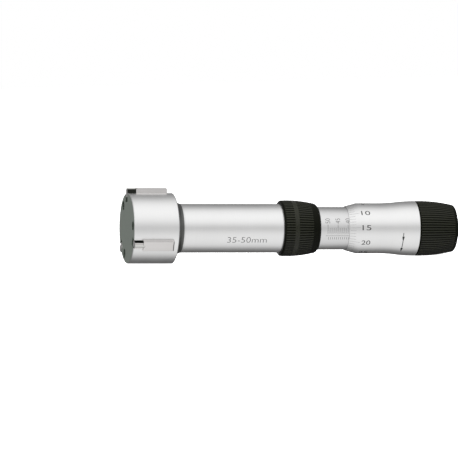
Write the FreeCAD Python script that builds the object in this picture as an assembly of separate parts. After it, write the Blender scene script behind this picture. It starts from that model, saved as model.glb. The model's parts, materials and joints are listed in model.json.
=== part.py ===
import FreeCAD, Part
import math
import os
from FreeCAD import Vector

# Three-point inside micrometer. The axis is X, from the head's front face at x = 0 to the ratchet
# grip, and +Z is up. All lengths are millimetres, all r are radii, all x lie along the axis.

# Range, and how far it is opened as drawn
RANGE_LOW = 35.0
RANGE_SPAN = 15.0
OPENED = 4.18
WEDGE_SLOPE = 0.5  # rise of the cone, and of the anvils on it, for each mm along the axis
ANVIL_COUNT = 3
CLOCKING = 94.5  # degrees of the first anvil round the axis, 0 towards the viewer, 90 up

# Clearances
RUN_GAP = 0.03  # between faces that slide or turn on each other
END_GAP = 0.2  # between faces that only come near each other at the end of a travel
SEAT_GAP = 0.02  # between an anvil and the cover that keeps it in

# Head, cover and shank
HEAD_BELOW_RANGE = 0.5  # the head's radius under the smallest bore's
COVER_THICKNESS = 4.2
COVER_FLOOR = 1.2  # what is left in front of the cone's recess
COVER_EDGE = 0.3
HEAD_EDGE = 0.4
HEAD_REAR_WALL = 2.8  # from the end of the anvil slots to the head's rear face
SHANK_R = 11.8
SHANK_LENGTH = 52.9
ROOT_FILLET = 4.6
SPIGOT_R = 9.9
SPIGOT_LENGTH = 16.8
SOCKET_LENGTH = 14.0
RELIEF_R = 0.35
SCREW_CIRCLE_R = 13.3
SCREW_OFFSET = 32.0  # degrees from an anvil to the next cover screw
SCREW_HEAD_R = 2.1
SCREW_HEAD_LENGTH = 2.0
SCREW_SUNK = 0.8
SCREW_R = 1.25
SCREW_LENGTH = 9.0
HEX_SOCKET_R = 1.15
HEX_SOCKET_DEPTH = 1.2
SCREW_HOLE_GAP = 0.1

# Measuring cone and its T rails
CONE_TIP_R = 7.9
CONE_LENGTH = 6.8
RAIL_LENGTH = 5.6
RAIL_NECK = 1.6
RAIL_HEAD = 3.0
RAIL_HEIGHT = 2.0
RAIL_HEAD_HEIGHT = 1.0
RAIL_FOOT = 1.0  # how far the rail reaches into the cone
CONE_SCREW_HEAD_R = 4.2
CONE_SCREW_HEAD_LENGTH = 2.0
CONE_SCREW_R = 1.5
CONE_SCREW_LENGTH = 9.0
CONE_SPIGOT_R = 3.0

# Anvils
ANVIL_WIDTH = 5.0
NOSE_WIDTH = 3.2
NOSE_HEIGHT = 4.6
NOSE_SET_BACK = 0.1
NOTCH_WIDTH = 4.2
PIN_R = 0.75
ANVIL_UNDER_PIN = 0.15  # how far the anvil's back lies under the pin's line
ANVIL_CHAMFER = 0.6

# Push rod, bushes and return spring
ROD_R = 4.0
ROD_LENGTH = 69.8
FLANGE_R = 6.0
FLANGE_LENGTH = 2.0
BUSH_R = 7.5
BUSH_LENGTH = 8.0
SPRING_ROOM_R = 6.6
SPRING_R = 5.2
SPRING_WIRE = 0.9
SPRING_TURNS = 5
STOP_RING_R = 6.2
STOP_RING_LENGTH = 2.0
STOP_RING_PLAY = 2.0  # from the ring to the rear bush at the smallest reading
SPRING_END = 0.05  # room at a spring's ends, as a share of its wire
COIL_STEPS = 16  # sections in one turn of a spring
BALL_R = 1.5
BALL_STANDOFF = 0.6  # from the push rod to the spindle, across the ball

# Inner barrel, graduated sleeve and adjusting nut
BARREL_SOCKET_R = 8.2
BARREL_R = 9.0
BARREL_BORE_R = 5.6
BARREL_NECK_R = 7.6
BARREL_NECK_LENGTH = 6.5
THREAD_LENGTH = 18.0
SLIT_WIDTH = 0.4
SLIT_LENGTH = 14.0
SLEEVE_R = 10.36
SLEEVE_LENGTH = 25.5
ADJUSTING_NUT_R = 9.8
ADJUSTING_NUT_LENGTH = 5.5
SPANNER_SLOT = 1.6
SPANNER_DEPTH = 1.2

# Spindle and thimble
SPINDLE_R = 4.5
SPINDLE_PLAIN = 10.6
SCREW_THREAD_R = 5.0
SPINDLE_THREAD = 28.0
TAPER_R = 4.6
TAPER_END_R = 3.9
STUD_R = 3.5
STUD_LENGTH = 6.3
THIMBLE_GAP = 0.1  # between the thimble's bore and the graduated sleeve
THIMBLE_LIP_R = 10.72
THIMBLE_R = 12.2
THIMBLE_BEVEL = 5.5
THIMBLE_SCALE_LENGTH = 10.7
THIMBLE_FLARE = 18.4
THIMBLE_REAR_R = 13.25
THIMBLE_WEB = 7.2
THIMBLE_NUT_AF = 10.0
THIMBLE_NUT_LENGTH = 2.5

# Ratchet
WHEEL_R = 9.2
WHEEL_LENGTH = 3.6
TEETH = 24
TOOTH_DEPTH = 0.8
TOOTH_WIDTH = 1.45
TOOTH_INNER_R = 6.3
GRIP_CAVITY_R = 10.0
GRIP_FRONT_GAP = 0.15
GRIP_FRONT_R = 12.7
GRIP_FRONT_CHAMFER = 0.55
GRIP_MIDDLE_R = 12.95
GRIP_REAR_R = 11.5
GRIP_LENGTH = 19.5
GRIP_CORNER = 1.1
GRIP_PLAIN_END = 0.6  # from the flutes to the rear corner
CREST_GAP = 0.4  # from the wheel's crests to the grip's web
SHOULDER_R = 3.0
RATCHET_SCREW_HEAD_R = 4.2
RATCHET_SCREW_HEAD_LENGTH = 2.2
RATCHET_SCREW_R = 1.6
RATCHET_SCREW_LENGTH = 6.0
PLUNGER_R = 1.5
PLUNGER_LENGTH = 4.2
PLUNGER_CIRCLE_R = 7.3
PLUNGER_WALL = 1.0  # from the plunger's bore to the cap
PLUNGER_SPRING_R = 0.95
PLUNGER_SPRING_WIRE = 0.4
PLUNGER_SPRING_TURNS = 5
CAP_R = 8.6
CAP_LENGTH = 3.1
CAP_DOME = 2.2
CAP_SLOPE = 0.4  # how far the grip's end face runs out towards the cap
CAP_ROOM = 0.97  # from the ratchet screw's head to the cap

# Fluted grips
COLLAR_OVERHANG = 1.75  # past the spigot, over the graduated sleeve
COLLAR_FACE_R = 12.7
COLLAR_CHAMFER = 0.7
COLLAR_FRONT_R = 13.45
COLLAR_MIDDLE_R = 13.35
COLLAR_REAR_R = 12.15
COLLAR_CORNER = 2.2
COLLAR_ROUND = 65.0  # degrees that the corner turns before the end face
COLLAR_END_R = 10.75
COLLAR_FIRST_FLUTES = 4.4
COLLAR_BAND = 2.1  # smooth band between the collar's two fluted zones
COLLAR_PLAIN_END = 1.85  # from the flutes to the rear corner
FLUTE_START = 0.1  # from the chamfer to the flutes
FLUTES = 66
FLUTE_WIDTH = 0.62
FLUTE_DEPTH = 0.35
FLUTE_RUN = 5.0  # length of a straight run of a flute's floor

ROUND_STEPS = 3  # straight runs of a rounded corner

ORIGIN = Vector(0, 0, 0)
AXIS = Vector(1, 0, 0)
UP = Vector(0, 0, 1)

# Travel of the cone and the spindle along the axis
FULL_TRAVEL = RANGE_SPAN / 2 / WEDGE_SLOPE
ADVANCED = OPENED / 2 / WEDGE_SLOPE
TO_GO = FULL_TRAVEL - ADVANCED

# Radii that follow from the range and the cone
HEAD_R = RANGE_LOW / 2 - HEAD_BELOW_RANGE
MEASURING_R = (RANGE_LOW + OPENED) / 2
CONE_LARGE_R = CONE_TIP_R + WEDGE_SLOPE * CONE_LENGTH
CHAMBER_R = CONE_LARGE_R + END_GAP
THREAD_BORE_R = SCREW_THREAD_R + RUN_GAP

# Places along the axis, from the front
CONE_TIP_X = COVER_FLOOR + END_GAP + TO_GO
CONE_REAR_X = CONE_TIP_X + CONE_LENGTH
CHAMBER_END_X = CONE_REAR_X + ADVANCED + 2 * END_GAP
KEYWAY_END_X = CONE_TIP_X + RAIL_LENGTH + ADVANCED + END_GAP
HEAD_REAR_X = KEYWAY_END_X + END_GAP / 2
SLOT_END_X = HEAD_REAR_X - HEAD_REAR_WALL
SHANK_END_X = HEAD_REAR_X + SHANK_LENGTH
SPIGOT_END_X = SHANK_END_X + SPIGOT_LENGTH
FRONT_BUSH_X = CONE_REAR_X + ADVANCED + FLANGE_LENGTH + 4 * END_GAP
FRONT_BUSH_END_X = FRONT_BUSH_X + BUSH_LENGTH
BARREL_X = SPIGOT_END_X - SOCKET_LENGTH
REAR_BUSH_END_X = BARREL_X - FLANGE_LENGTH
REAR_BUSH_X = REAR_BUSH_END_X - BUSH_LENGTH
STOP_RING_END_X = REAR_BUSH_X - STOP_RING_PLAY - ADVANCED
STOP_RING_X = STOP_RING_END_X - STOP_RING_LENGTH
ROD_END_X = CONE_REAR_X + ROD_LENGTH
SPINDLE_X = ROD_END_X + BALL_STANDOFF
BALL_X = ROD_END_X + BALL_STANDOFF / 2
SLEEVE_END_X = SPIGOT_END_X + SLEEVE_LENGTH
BARREL_END_X = SLEEVE_END_X + BARREL_NECK_LENGTH
WEB_X = BARREL_END_X + TO_GO + 3 * END_GAP
THIMBLE_END_X = WEB_X + THIMBLE_WEB
THIMBLE_LENGTH = THIMBLE_BEVEL + THIMBLE_SCALE_LENGTH + THIMBLE_FLARE
THIMBLE_X = THIMBLE_END_X - THIMBLE_LENGTH
STUD_END_X = THIMBLE_END_X + STUD_LENGTH
NUT_END_X = THIMBLE_END_X + THIMBLE_NUT_LENGTH
CREST_X = NUT_END_X + WHEEL_LENGTH
GRIP_X = THIMBLE_END_X + GRIP_FRONT_GAP
GRIP_END_X = GRIP_X + GRIP_LENGTH
GRIP_WEB_X = CREST_X + CREST_GAP
CAP_X = GRIP_END_X - CAP_LENGTH
RATCHET_HEAD_END_X = CAP_X - CAP_ROOM
SHOULDER_END_X = RATCHET_HEAD_END_X - RATCHET_SCREW_HEAD_LENGTH
PLUNGER_BORE_END_X = CAP_X - PLUNGER_WALL


def outline(*steps):
    """A closed face in the axis plane: (x, r) is a straight run, ((x, r), (x, r)) an arc by its middle."""
    here = start = Vector(steps[0][0], 0, steps[0][1])
    edges = []
    for step in steps[1:]:
        if isinstance(step[0], tuple):
            middle, end = (Vector(x, 0, r) for x, r in step)
            edges.append(Part.Arc(here, middle, end).toShape())
        else:
            end = Vector(step[0], 0, step[1])
            edges.append(Part.makeLine(here, end))
        here = end
    edges.append(Part.makeLine(here, start))
    return Part.Face(Part.Wire(edges))


def turned(*steps):
    """The outline turned once round the axis."""
    return outline(*steps).revolve(ORIGIN, AXIS, 360)


def rod(x0, x1, r):
    return Part.makeCylinder(r, x1 - x0, Vector(x0, 0, 0), AXIS)


def tube(x0, x1, r_out, r_in):
    return rod(x0, x1, r_out).cut(rod(x0, x1, r_in))


def bar(x0, x1, width, z0, z1):
    """A bar across the axis plane, which stands upright until it is turned to its place."""
    return Part.makeBox(x1 - x0, width, z1 - z0, Vector(x0, -width / 2, z0))


def offset_rod(x0, x1, r, z):
    """A rod beside the axis, z above it."""
    return Part.makeCylinder(r, x1 - x0, Vector(x0, 0, z), AXIS)


def hexagon(x0, x1, r):
    """A hexagonal bar round the axis, r to its corners."""
    corners = [math.radians(60 * i) for i in range(7)]
    wire = Part.makePolygon([Vector(x0, r * math.cos(a), r * math.sin(a)) for a in corners])
    return Part.Face(wire).extrude(AXIS * (x1 - x0))


def sloped(x, length, points):
    """A bar that rises with the wedge slope, from its section's (y, z) points at x."""
    wire = Part.makePolygon([Vector(x, y, z) for y, z in points + points[:1]])
    return Part.Face(wire).extrude(Vector(length, 0, length * WEDGE_SLOPE))


def facing(shape, degrees):
    """The upright shape turned about the axis, 0 towards the viewer and 90 up."""
    there = shape.copy()
    there.rotate(ORIGIN, AXIS, 90 - degrees)
    return there


def all_round(shape, count, first=90.0):
    """Copies of the upright shape, evenly spaced round the axis."""
    return [facing(shape, first + 360.0 * i / count) for i in range(count)]


def anvil_angle(i):
    return CLOCKING + 360.0 * i / ANVIL_COUNT


def coil(x0, x1, r, wire, turns):
    """A spring of square wire with its axis on X: a ruled loft through its turned sections."""
    half = wire / 2
    start = x0 + half + wire * SPRING_END
    rise = (x1 - x0 - wire - 2 * wire * SPRING_END) / (turns * COIL_STEPS)
    sections = []
    for step in range(turns * COIL_STEPS + 1):
        x = start + rise * step
        corners = [(x + a * half, r + b * half) for a, b in ((-1, -1), (1, -1), (1, 1), (-1, 1))]
        section = Part.makePolygon([Vector(x, 0, z) for x, z in corners + corners[:1]])
        section.rotate(ORIGIN, AXIS, 360.0 * step / COIL_STEPS)
        sections.append(section)
    return Part.makeLoft(sections, True, True)


def through(first, middle, last):
    """The height at x of the arc through three (x, r) points."""
    centre = Part.Arc(*(Vector(x, 0, r) for x, r in (first, middle, last))).toShape().Curve.Center
    radius = centre.distanceToPoint(Vector(first[0], 0, first[1]))
    side = 1 if middle[1] > centre.z else -1
    return lambda x: centre.z + side * math.sqrt(radius ** 2 - (x - centre.x) ** 2)


def rounding(x, r, radius, start, turn):
    """Points of a quarter round about (x, r), from the start angle through the turn, in degrees."""
    angles = [math.radians(start + turn * i / ROUND_STEPS) for i in range(ROUND_STEPS + 1)]
    return [(x + radius * math.cos(a), r + radius * math.sin(a)) for a in angles]


def t_section(z, neck, head, foot, neck_top, head_top):
    """The T of a rail or a groove at height z: a neck with a wider head on it."""
    return [
        (-neck / 2, z - foot), (neck / 2, z - foot),
        (neck / 2, z + neck_top), (head / 2, z + neck_top),
        (head / 2, z + head_top), (-head / 2, z + head_top),
        (-head / 2, z + neck_top), (-neck / 2, z + neck_top),
    ]


def cone_screws_out(shape, cutter):
    """The shape with a cutter taken out at each cover screw."""
    angles = [anvil_angle(i) + SCREW_OFFSET for i in range(ANVIL_COUNT)]
    return shape.cut([facing(cutter, a) for a in angles])


def anvils_out(shape, *cutters):
    """The shape with the cutters taken out at each anvil."""
    return shape.cut([facing(c, anvil_angle(i)) for c in cutters for i in range(ANVIL_COUNT)])


def stations(x0, x1):
    """Places along a flute where its floor, and the skin over it, change their slope."""
    runs = max(1, round((x1 - x0) / FLUTE_RUN))
    return [x0 + (x1 - x0) * i / runs for i in range(runs + 1)]


def fluted(blank, skin, x0, x1):
    """The blank with straight flutes from x0 to x1, whose floors follow the skin, a height at x."""
    floor = [(x, skin(x) - FLUTE_DEPTH) for x in stations(x0, x1)]
    reach = max(r for x, r in floor) + 1
    profile = outline((x0, reach), *floor, (x1, reach))
    profile.translate(Vector(0, -FLUTE_WIDTH / 2, 0))
    return blank.cut(all_round(profile.extrude(Vector(0, FLUTE_WIDTH, 0)), FLUTES))


# Head and shank, turned from one bar
def head_body():
    bore_r = BUSH_R
    blank = turned(
        (COVER_THICKNESS, CHAMBER_R), (COVER_THICKNESS, HEAD_R),
        (HEAD_REAR_X - HEAD_EDGE, HEAD_R), (HEAD_REAR_X, HEAD_R - HEAD_EDGE),
        *rounding(HEAD_REAR_X + ROOT_FILLET, SHANK_R + ROOT_FILLET, ROOT_FILLET, 180, 90),
        (SHANK_END_X, SHANK_R), (SHANK_END_X, SPIGOT_R), (SPIGOT_END_X, SPIGOT_R),
        (SPIGOT_END_X, BARREL_SOCKET_R), (BARREL_X, BARREL_SOCKET_R), (BARREL_X, bore_r),
        (REAR_BUSH_X, bore_r), (REAR_BUSH_X, SPRING_ROOM_R),
        (FRONT_BUSH_END_X, SPRING_ROOM_R), (FRONT_BUSH_END_X, bore_r),
        (CHAMBER_END_X, bore_r), (CHAMBER_END_X, CHAMBER_R),
    )
    slot_width = ANVIL_WIDTH + 2 * RUN_GAP
    slot_end = SLOT_END_X + RUN_GAP
    slot = bar(0, slot_end, slot_width, CONE_TIP_R, HEAD_R + 1)
    reliefs = [
        Part.makeCylinder(RELIEF_R, HEAD_R, Vector(slot_end, side * slot_width / 2, CHAMBER_R / 2), UP)
        for side in (-1, 1)
    ]
    keyway_r = CONE_TIP_R + WEDGE_SLOPE * RAIL_LENGTH + RAIL_HEIGHT + END_GAP
    keyway = bar(COVER_THICKNESS, KEYWAY_END_X, RAIL_HEAD + 2 * END_GAP, CONE_TIP_R, keyway_r)
    hole = offset_rod(0, screw_end_x(), SCREW_R, SCREW_CIRCLE_R)
    return cone_screws_out(anvils_out(blank, slot, keyway, *reliefs), hole)


def screw_end_x():
    return SCREW_SUNK + SCREW_HEAD_LENGTH + SCREW_LENGTH


# Front cover, notched for the anvil noses and recessed for the cone
def front_cover():
    at_rear = CONE_TIP_R + WEDGE_SLOPE * (COVER_THICKNESS - COVER_FLOOR - END_GAP)
    blank = turned(
        (0, 0), (0, HEAD_R - COVER_EDGE), (COVER_EDGE, HEAD_R), (COVER_THICKNESS, HEAD_R),
        (COVER_THICKNESS, at_rear + END_GAP), (COVER_FLOOR, at_rear + END_GAP), (COVER_FLOOR, 0),
    )
    notch_r = RANGE_LOW / 2 - NOSE_HEIGHT - END_GAP
    notch = bar(-1, COVER_THICKNESS + 1, NOTCH_WIDTH, notch_r, HEAD_R + 1)
    keyway = bar(
        COVER_FLOOR, COVER_THICKNESS + 1, RAIL_HEAD + 2 * END_GAP,
        CONE_TIP_R / 2, at_rear + RAIL_HEIGHT + END_GAP,
    )
    sunk = SCREW_SUNK + SCREW_HEAD_LENGTH
    counterbore = offset_rod(-1, sunk, SCREW_HEAD_R + SCREW_HOLE_GAP, SCREW_CIRCLE_R)
    hole = offset_rod(0, COVER_THICKNESS + 1, SCREW_R + SCREW_HOLE_GAP, SCREW_CIRCLE_R)
    return cone_screws_out(anvils_out(blank, notch, keyway), counterbore.fuse(hole))


def cover_screws():
    head_end = SCREW_SUNK + SCREW_HEAD_LENGTH
    screw = rod(SCREW_SUNK, head_end, SCREW_HEAD_R).fuse(rod(head_end, screw_end_x(), SCREW_R))
    screw = screw.cut(hexagon(SCREW_SUNK, SCREW_SUNK + HEX_SOCKET_DEPTH, HEX_SOCKET_R))
    screw.translate(UP * SCREW_CIRCLE_R)
    return Part.makeCompound([facing(screw, anvil_angle(i) + SCREW_OFFSET) for i in range(ANVIL_COUNT)])


# Measuring cone with its T rails, which draw the anvils in as it goes back
def measuring_cone():
    counterbore_r = CONE_SCREW_HEAD_R + SCREW_HOLE_GAP
    seat_x = CONE_TIP_X + END_GAP + CONE_SCREW_HEAD_LENGTH
    cone = turned(
        (CONE_TIP_X, counterbore_r), (CONE_TIP_X, CONE_TIP_R), (CONE_REAR_X, CONE_LARGE_R),
        (CONE_REAR_X, CONE_SPIGOT_R), (seat_x, CONE_SPIGOT_R), (seat_x, counterbore_r),
    )
    section = t_section(
        CONE_TIP_R, RAIL_NECK, RAIL_HEAD, RAIL_FOOT, RAIL_HEIGHT - RAIL_HEAD_HEIGHT, RAIL_HEIGHT
    )
    rail = sloped(CONE_TIP_X, RAIL_LENGTH, section)
    return cone.fuse([facing(rail, anvil_angle(i)) for i in range(ANVIL_COUNT)])


def cone_screw():
    head_x = CONE_TIP_X + END_GAP
    head_end = head_x + CONE_SCREW_HEAD_LENGTH
    screw = rod(head_x, head_end, CONE_SCREW_HEAD_R)
    screw = screw.fuse(rod(head_end, head_end + CONE_SCREW_LENGTH, CONE_SCREW_R))
    return screw.cut(hexagon(head_x, head_x + HEX_SOCKET_DEPTH, CONE_SCREW_R))


def cone_height(x):
    """Height of the cone's flank over the axis, along an anvil's middle."""
    return CONE_TIP_R + WEDGE_SLOPE * (x - CONE_TIP_X)


# An anvil: a wedge with a T groove under it, and a narrow nose that carries the measuring pin
def anvil(i):
    x0 = COVER_THICKNESS + SEAT_GAP
    back = MEASURING_R - ANVIL_UNDER_PIN
    profile = outline(
        (x0, cone_height(x0) + RUN_GAP), (x0, back + 1), (SLOT_END_X - ANVIL_CHAMFER, back + 1),
        (SLOT_END_X - ANVIL_CHAMFER, back), (SLOT_END_X, back - ANVIL_CHAMFER),
        (SLOT_END_X, cone_height(SLOT_END_X) + RUN_GAP),
    )
    profile.translate(Vector(0, -ANVIL_WIDTH / 2, 0))
    wedge = profile.extrude(Vector(0, ANVIL_WIDTH, 0)).common(rod(x0, SLOT_END_X, back))
    nose = bar(NOSE_SET_BACK, x0, NOSE_WIDTH, MEASURING_R - NOSE_HEIGHT, MEASURING_R - PIN_R)
    section = t_section(
        cone_height(0), RAIL_NECK + 2 * RUN_GAP, RAIL_HEAD + 2 * RUN_GAP, RAIL_FOOT,
        RAIL_HEIGHT - RAIL_HEAD_HEIGHT - RUN_GAP, RAIL_HEIGHT + RUN_GAP,
    )
    groove = sloped(0, HEAD_REAR_X, section)
    whole = wedge.fuse(nose).cut([groove, pin_rod()])
    return facing(whole, anvil_angle(i))


def pin_rod():
    """A measuring pin, lying on the nose of an upright anvil."""
    return offset_rod(NOSE_SET_BACK, COVER_THICKNESS + SEAT_GAP + PIN_R, PIN_R, MEASURING_R - PIN_R)


def measuring_pin(i):
    return facing(pin_rod(), anvil_angle(i))


# Push rod from the cone back to the thrust ball
def push_rod():
    spigot_x = CONE_TIP_X + END_GAP + CONE_SCREW_HEAD_LENGTH
    flange_end = CONE_REAR_X + FLANGE_LENGTH
    hole_end = spigot_x + CONE_SCREW_LENGTH
    body = turned(
        (hole_end, 0), (hole_end, CONE_SCREW_R), (spigot_x, CONE_SCREW_R), (spigot_x, CONE_SPIGOT_R),
        (CONE_REAR_X, CONE_SPIGOT_R), (CONE_REAR_X, FLANGE_R), (flange_end, FLANGE_R),
        (flange_end, ROD_R), (ROD_END_X, ROD_R), (ROD_END_X, 0),
    )
    return body.cut(thrust_ball())


def thrust_ball():
    return Part.makeSphere(BALL_R, Vector(BALL_X, 0, 0))


def front_bush():
    return tube(FRONT_BUSH_X, FRONT_BUSH_END_X, BUSH_R, ROD_R + RUN_GAP)


def rear_bush():
    return tube(REAR_BUSH_X, REAR_BUSH_END_X, BUSH_R, ROD_R + RUN_GAP)


def stop_ring():
    return tube(STOP_RING_X, STOP_RING_END_X, STOP_RING_R, ROD_R)


def return_spring():
    return coil(FRONT_BUSH_END_X, STOP_RING_X, SPRING_R, SPRING_WIRE, SPRING_TURNS)


# Inner barrel: socket end in the shank, thread for the spindle and a split end
def inner_barrel():
    thread_x = BARREL_END_X - THREAD_LENGTH
    blank = turned(
        (BARREL_X, BARREL_BORE_R), (BARREL_X, BARREL_SOCKET_R), (SPIGOT_END_X, BARREL_SOCKET_R),
        (SPIGOT_END_X, BARREL_R), (SLEEVE_END_X, BARREL_R), (SLEEVE_END_X, BARREL_NECK_R),
        (BARREL_END_X, BARREL_NECK_R), (BARREL_END_X, THREAD_BORE_R), (thread_x, THREAD_BORE_R),
        (thread_x, BARREL_BORE_R),
    )
    slit = bar(BARREL_END_X - SLIT_LENGTH, BARREL_END_X + 1, SLIT_WIDTH, SPINDLE_R, BARREL_R + 1)
    return blank.cut(all_round(slit, 3))


def graduated_sleeve():
    return tube(SPIGOT_END_X, SLEEVE_END_X, SLEEVE_R, BARREL_R)


def adjusting_nut():
    x0 = SLEEVE_END_X + END_GAP
    x1 = x0 + ADJUSTING_NUT_LENGTH
    slot = bar(x1 - SPANNER_DEPTH, x1 + 1, SPANNER_SLOT, BARREL_NECK_R - 1, ADJUSTING_NUT_R + 1)
    return tube(x0, x1, ADJUSTING_NUT_R, BARREL_NECK_R).cut(all_round(slot, 2))


# Spindle: plain front, thread, taper for the thimble and a stud behind it
def spindle():
    thread_x = SPINDLE_X + SPINDLE_PLAIN
    thread_end = thread_x + SPINDLE_THREAD
    hole_x = STUD_END_X - RATCHET_SCREW_LENGTH
    body = turned(
        (SPINDLE_X, 0), (SPINDLE_X, SPINDLE_R), (thread_x, SPINDLE_R), (thread_x, SCREW_THREAD_R),
        (thread_end, SCREW_THREAD_R), (thread_end, TAPER_R), (WEB_X, TAPER_R),
        (THIMBLE_END_X, TAPER_END_R), (THIMBLE_END_X, STUD_R), (STUD_END_X, STUD_R),
        (STUD_END_X, RATCHET_SCREW_R), (hole_x, RATCHET_SCREW_R), (hole_x, 0),
    )
    return body.cut(Part.makeSphere(BALL_R + SEAT_GAP, Vector(BALL_X, 0, 0)))


# Thimble: thin bevelled lip, numbered cylinder, flare, and a web on the spindle's taper
def thimble():
    scale_x = THIMBLE_X + THIMBLE_BEVEL
    flare_x = scale_x + THIMBLE_SCALE_LENGTH
    rise = THIMBLE_REAR_R - THIMBLE_R
    quarter = rise * 0.125
    bore_r = SLEEVE_R + THIMBLE_GAP
    return turned(
        (THIMBLE_X, bore_r), (THIMBLE_X, THIMBLE_LIP_R), (scale_x, THIMBLE_R), (flare_x, THIMBLE_R),
        (
            (flare_x + THIMBLE_FLARE / 4, THIMBLE_R + quarter),
            (flare_x + THIMBLE_FLARE / 2, THIMBLE_R + rise / 2),
        ),
        (
            (flare_x + THIMBLE_FLARE * 3 / 4, THIMBLE_REAR_R - quarter),
            (THIMBLE_END_X, THIMBLE_REAR_R),
        ),
        (THIMBLE_END_X, TAPER_END_R), (WEB_X, TAPER_R), (WEB_X, bore_r),
    )


def thimble_nut():
    corner_r = THIMBLE_NUT_AF / math.sqrt(3)
    return hexagon(THIMBLE_END_X, NUT_END_X, corner_r).cut(rod(THIMBLE_END_X, NUT_END_X, STUD_R))


# Ratchet wheel, with saw teeth cut in its rear face
def ratchet_wheel():
    blank = tube(NUT_END_X, CREST_X, WHEEL_R, STUD_R)
    cut = Part.makePolygon([
        Vector(CREST_X, 0, TOOTH_INNER_R),
        Vector(CREST_X, TOOTH_WIDTH, TOOTH_INNER_R),
        Vector(CREST_X - TOOTH_DEPTH, 0, TOOTH_INNER_R),
        Vector(CREST_X, 0, TOOTH_INNER_R),
    ])
    tooth = Part.Face(cut).extrude(UP * WHEEL_R)
    return blank.cut(all_round(tooth, TEETH))


def ratchet_screw():
    screw = rod(STUD_END_X, SHOULDER_END_X, SHOULDER_R)
    screw = screw.fuse(rod(SHOULDER_END_X, RATCHET_HEAD_END_X, RATCHET_SCREW_HEAD_R))
    screw = screw.fuse(rod(STUD_END_X - RATCHET_SCREW_LENGTH, STUD_END_X, RATCHET_SCREW_R))
    driver_slot = bar(
        RATCHET_HEAD_END_X - SPANNER_DEPTH, RATCHET_HEAD_END_X + 1, SPANNER_DEPTH,
        -RATCHET_SCREW_HEAD_R, RATCHET_SCREW_HEAD_R,
    )
    return screw.cut(driver_slot)


# The ratchet grip turns on the ratchet screw's shoulder
def ratchet_grip():
    skin_x = GRIP_X + GRIP_FRONT_CHAMFER
    corner_x = GRIP_END_X - GRIP_CORNER
    front = (skin_x, GRIP_FRONT_R + GRIP_FRONT_CHAMFER)
    middle = ((skin_x + corner_x) / 2, GRIP_MIDDLE_R)
    rear = (corner_x, GRIP_REAR_R)
    skin = through(front, middle, rear)
    flute_x = skin_x + FLUTE_START
    flute_end = corner_x - GRIP_PLAIN_END
    blank = turned(
        (GRIP_X, 0), (GRIP_X, GRIP_FRONT_R), front,
        *((x, skin(x)) for x in stations(flute_x, flute_end)), rear,
        *rounding(corner_x, GRIP_REAR_R - GRIP_CORNER, GRIP_CORNER, 90, -90)[1:],
        (GRIP_END_X + CAP_SLOPE, CAP_R), (GRIP_END_X + CAP_SLOPE, 0),
    )
    web_end_x = SHOULDER_END_X - RUN_GAP
    inside = [
        rod(GRIP_X - 1, GRIP_WEB_X, GRIP_CAVITY_R),
        rod(GRIP_WEB_X, web_end_x, SHOULDER_R + RUN_GAP),
        rod(web_end_x, CAP_X, RATCHET_SCREW_HEAD_R + END_GAP),
        rod(CAP_X, GRIP_END_X + 1, CAP_R),
        offset_rod(GRIP_WEB_X, PLUNGER_BORE_END_X, PLUNGER_R + RUN_GAP, PLUNGER_CIRCLE_R),
    ]
    return fluted(blank.cut(inside), skin, flute_x, flute_end)


def ratchet_plunger():
    x0 = CREST_X + CREST_GAP / 8
    body = offset_rod(x0, x0 + PLUNGER_LENGTH, PLUNGER_R, PLUNGER_CIRCLE_R)
    return body.makeChamfer(PLUNGER_R / 3, [body.Edges[edge_at(body, x0)]])


def edge_at(body, x):
    """Which edge of the body is the ring at x."""
    flat = [abs(e.CenterOfMass.x - x) < 1e-6 for e in body.Edges]
    return flat.index(True)


def ratchet_spring():
    x0 = CREST_X + CREST_GAP / 8 + PLUNGER_LENGTH
    spring = coil(x0, PLUNGER_BORE_END_X, PLUNGER_SPRING_R, PLUNGER_SPRING_WIRE, PLUNGER_SPRING_TURNS)
    spring.translate(UP * PLUNGER_CIRCLE_R)
    return spring


def end_cap():
    face_x = GRIP_END_X + CAP_SLOPE
    dome_r = (CAP_R ** 2 + CAP_DOME ** 2) / (2 * CAP_DOME)
    centre_x = face_x + CAP_DOME - dome_r
    rim = math.asin(CAP_R / dome_r)
    angles = [rim * (1 - i / ROUND_STEPS) for i in range(1, ROUND_STEPS + 1)]
    dome = [(centre_x + dome_r * math.cos(a), dome_r * math.sin(a)) for a in angles]
    return turned((CAP_X, 0), (CAP_X, CAP_R), (face_x, CAP_R), *dome)


# Fluted collar over the joint of shank and sleeve, held by hand
def grip_collar():
    end_x = SPIGOT_END_X + COLLAR_OVERHANG
    corner_x = end_x - COLLAR_CORNER
    front = (SHANK_END_X + COLLAR_CHAMFER, COLLAR_FRONT_R)
    rear = (corner_x, COLLAR_REAR_R)
    middle = ((front[0] + corner_x) / 2, COLLAR_MIDDLE_R)
    skin = through(front, middle, rear)
    first_x = front[0] + FLUTE_START
    first_end = first_x + COLLAR_FIRST_FLUTES
    second_x = first_end + COLLAR_BAND
    second_end = corner_x - COLLAR_PLAIN_END
    places = stations(first_x, first_end) + stations(second_x, second_end)
    blank = turned(
        (SHANK_END_X, SPIGOT_R), (SHANK_END_X, COLLAR_FACE_R), front,
        *((x, skin(x)) for x in places), rear,
        *rounding(corner_x, COLLAR_REAR_R - COLLAR_CORNER, COLLAR_CORNER, 90, -COLLAR_ROUND)[1:],
        (end_x, COLLAR_END_R), (end_x, SLEEVE_R + RUN_GAP), (SPIGOT_END_X, SLEEVE_R + RUN_GAP),
        (SPIGOT_END_X, SPIGOT_R),
    )
    return fluted(fluted(blank, skin, first_x, first_end), skin, second_x, second_end)


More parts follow.
